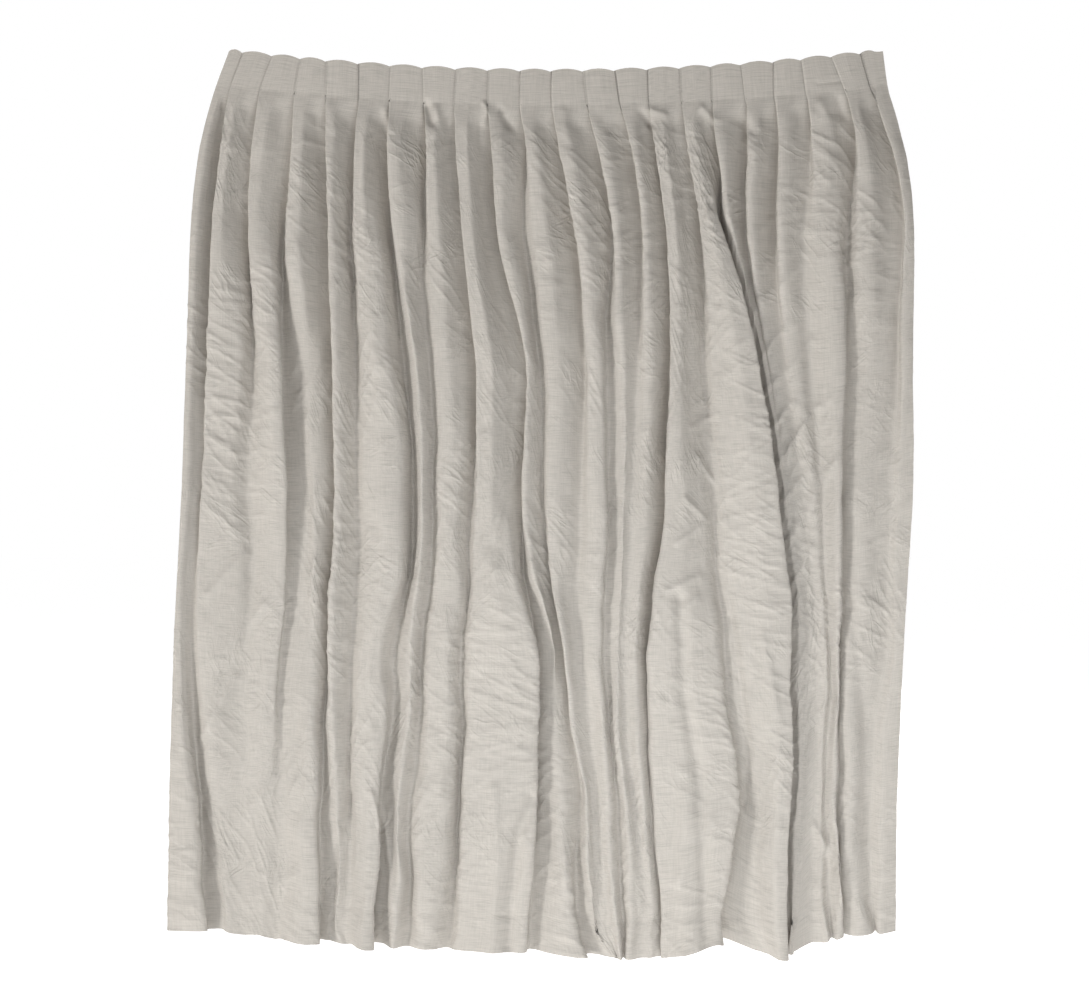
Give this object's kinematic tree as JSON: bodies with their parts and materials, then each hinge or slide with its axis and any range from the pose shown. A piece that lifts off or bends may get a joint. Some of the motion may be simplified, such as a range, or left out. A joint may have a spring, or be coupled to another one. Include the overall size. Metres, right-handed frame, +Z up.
{
  "type": "room curtain panel",
  "caption": "Full-length room curtain panel in heavy natural linen, knife-pleated into a stiffened heading, with turned hems and hooks on a tape behind.",
  "frame": {"origin": "the middle of the line that the heading hooks hang from, on the flat seat inside their crooks", "axes": "+X to the viewer's right along the heading, -Y to the room, +Z up along the drop"},
  "size_m": [2.042, 0.1134, 2.466],
  "materials": {
    "linen": "matte",
    "buckram": "matte",
    "heading_tape": "matte",
    "hook_nylon": "satin",
    "hem_weight": "matte",
    "care_label": "matte"
  },
  "bodies": {
    "panel": {"width_left": "linen", "width_centre": "linen", "width_right": "linen", "bottom_hem_left": "linen", "bottom_hem_centre": "linen", "bottom_hem_right": "linen", "side_hem_left": "linen", "side_hem_right": "linen", "heading_stiffener": "buckram", "heading_tape": "heading_tape", "care_label": "care_label", "hook_01": "hook_nylon"},
    "leading_hook": {"hook_12": "hook_nylon"},
    "hook_02_body": {"hook_02": "hook_nylon"},
    "hook_03_body": {"hook_03": "hook_nylon"},
    "hook_04_body": {"hook_04": "hook_nylon"},
    "hook_05_body": {"hook_05": "hook_nylon"},
    "hook_06_body": {"hook_06": "hook_nylon"},
    "hook_07_body": {"hook_07": "hook_nylon"},
    "hook_08_body": {"hook_08": "hook_nylon"},
    "hook_09_body": {"hook_09": "hook_nylon"},
    "hook_10_body": {"hook_10": "hook_nylon"},
    "hook_11_body": {"hook_11": "hook_nylon"},
    "hem_weight_left_body": {"hem_weight_left": "hem_weight"},
    "hem_weight_seam_left_body": {"hem_weight_seam_left": "hem_weight"},
    "hem_weight_seam_right_body": {"hem_weight_seam_right": "hem_weight"},
    "hem_weight_right_body": {"hem_weight_right": "hem_weight"}
  },
  "joints": [
    {"name": "draw", "type": "slide", "parent": "panel", "child": "leading_hook", "axis": [-1, 0, 0], "range_m": [0, 1.1277], "deforming": ["width_left", "width_centre", "width_right", "bottom_hem_left", "bottom_hem_centre", "bottom_hem_right", "side_hem_left", "side_hem_right", "heading_stiffener", "heading_tape", "care_label"]},
    {"name": "slide_hook_02", "type": "slide", "parent": "panel", "child": "hook_02_body", "axis": [-1, 0, 0], "range_m": [0, 0.08736]},
    {"name": "slide_hook_03", "type": "slide", "parent": "panel", "child": "hook_03_body", "axis": [-1, 0, 0], "range_m": [0, 0.19325]},
    {"name": "slide_hook_04", "type": "slide", "parent": "panel", "child": "hook_04_body", "axis": [-1, 0, 0], "range_m": [0, 0.29914]},
    {"name": "slide_hook_05", "type": "slide", "parent": "panel", "child": "hook_05_body", "axis": [-1, 0, 0], "range_m": [0, 0.40502]},
    {"name": "slide_hook_06", "type": "slide", "parent": "panel", "child": "hook_06_body", "axis": [-1, 0, 0], "range_m": [0, 0.51091]},
    {"name": "slide_hook_07", "type": "slide", "parent": "panel", "child": "hook_07_body", "axis": [-1, 0, 0], "range_m": [0, 0.6168]},
    {"name": "slide_hook_08", "type": "slide", "parent": "panel", "child": "hook_08_body", "axis": [-1, 0, 0], "range_m": [0, 0.72269]},
    {"name": "slide_hook_09", "type": "slide", "parent": "panel", "child": "hook_09_body", "axis": [-1, 0, 0], "range_m": [0, 0.82857]},
    {"name": "slide_hook_10", "type": "slide", "parent": "panel", "child": "hook_10_body", "axis": [-1, 0, 0], "range_m": [0, 0.93446]},
    {"name": "slide_hook_11", "type": "slide", "parent": "panel", "child": "hook_11_body", "axis": [-1, 0, 0], "range_m": [0, 1.04035]},
    {"name": "slide_hem_weight_left", "type": "slide", "parent": "panel", "child": "hem_weight_left_body", "axis": [-1, 0, 0], "range_m": [-0.09549, 0]},
    {"name": "slide_hem_weight_seam_left", "type": "slide", "parent": "panel", "child": "hem_weight_seam_left_body", "axis": [-1, 0, 0], "range_m": [0, 0.27648]},
    {"name": "slide_hem_weight_seam_right", "type": "slide", "parent": "panel", "child": "hem_weight_seam_right_body", "axis": [-1, 0, 0], "range_m": [0, 0.70763]},
    {"name": "slide_hem_weight_right", "type": "slide", "parent": "panel", "child": "hem_weight_right_body", "axis": [-1, 0, 0], "range_m": [0, 1.13878]}
  ],
  "couplings": [
    {"joint": "slide_hook_02", "follows": "draw", "ratio": 0.077465},
    {"joint": "slide_hook_03", "follows": "draw", "ratio": 0.17136},
    {"joint": "slide_hook_04", "follows": "draw", "ratio": 0.26526},
    {"joint": "slide_hook_05", "follows": "draw", "ratio": 0.35916},
    {"joint": "slide_hook_06", "follows": "draw", "ratio": 0.45305},
    {"joint": "slide_hook_07", "follows": "draw", "ratio": 0.54695},
    {"joint": "slide_hook_08", "follows": "draw", "ratio": 0.64084},
    {"joint": "slide_hook_09", "follows": "draw", "ratio": 0.73474},
    {"joint": "slide_hook_10", "follows": "draw", "ratio": 0.82864},
    {"joint": "slide_hook_11", "follows": "draw", "ratio": 0.92253},
    {"joint": "slide_hem_weight_left", "follows": "draw", "ratio": -0.084673},
    {"joint": "slide_hem_weight_seam_left", "follows": "draw", "ratio": 0.24517},
    {"joint": "slide_hem_weight_seam_right", "follows": "draw", "ratio": 0.62749},
    {"joint": "slide_hem_weight_right", "follows": "draw", "ratio": 1.0098}
  ]
}
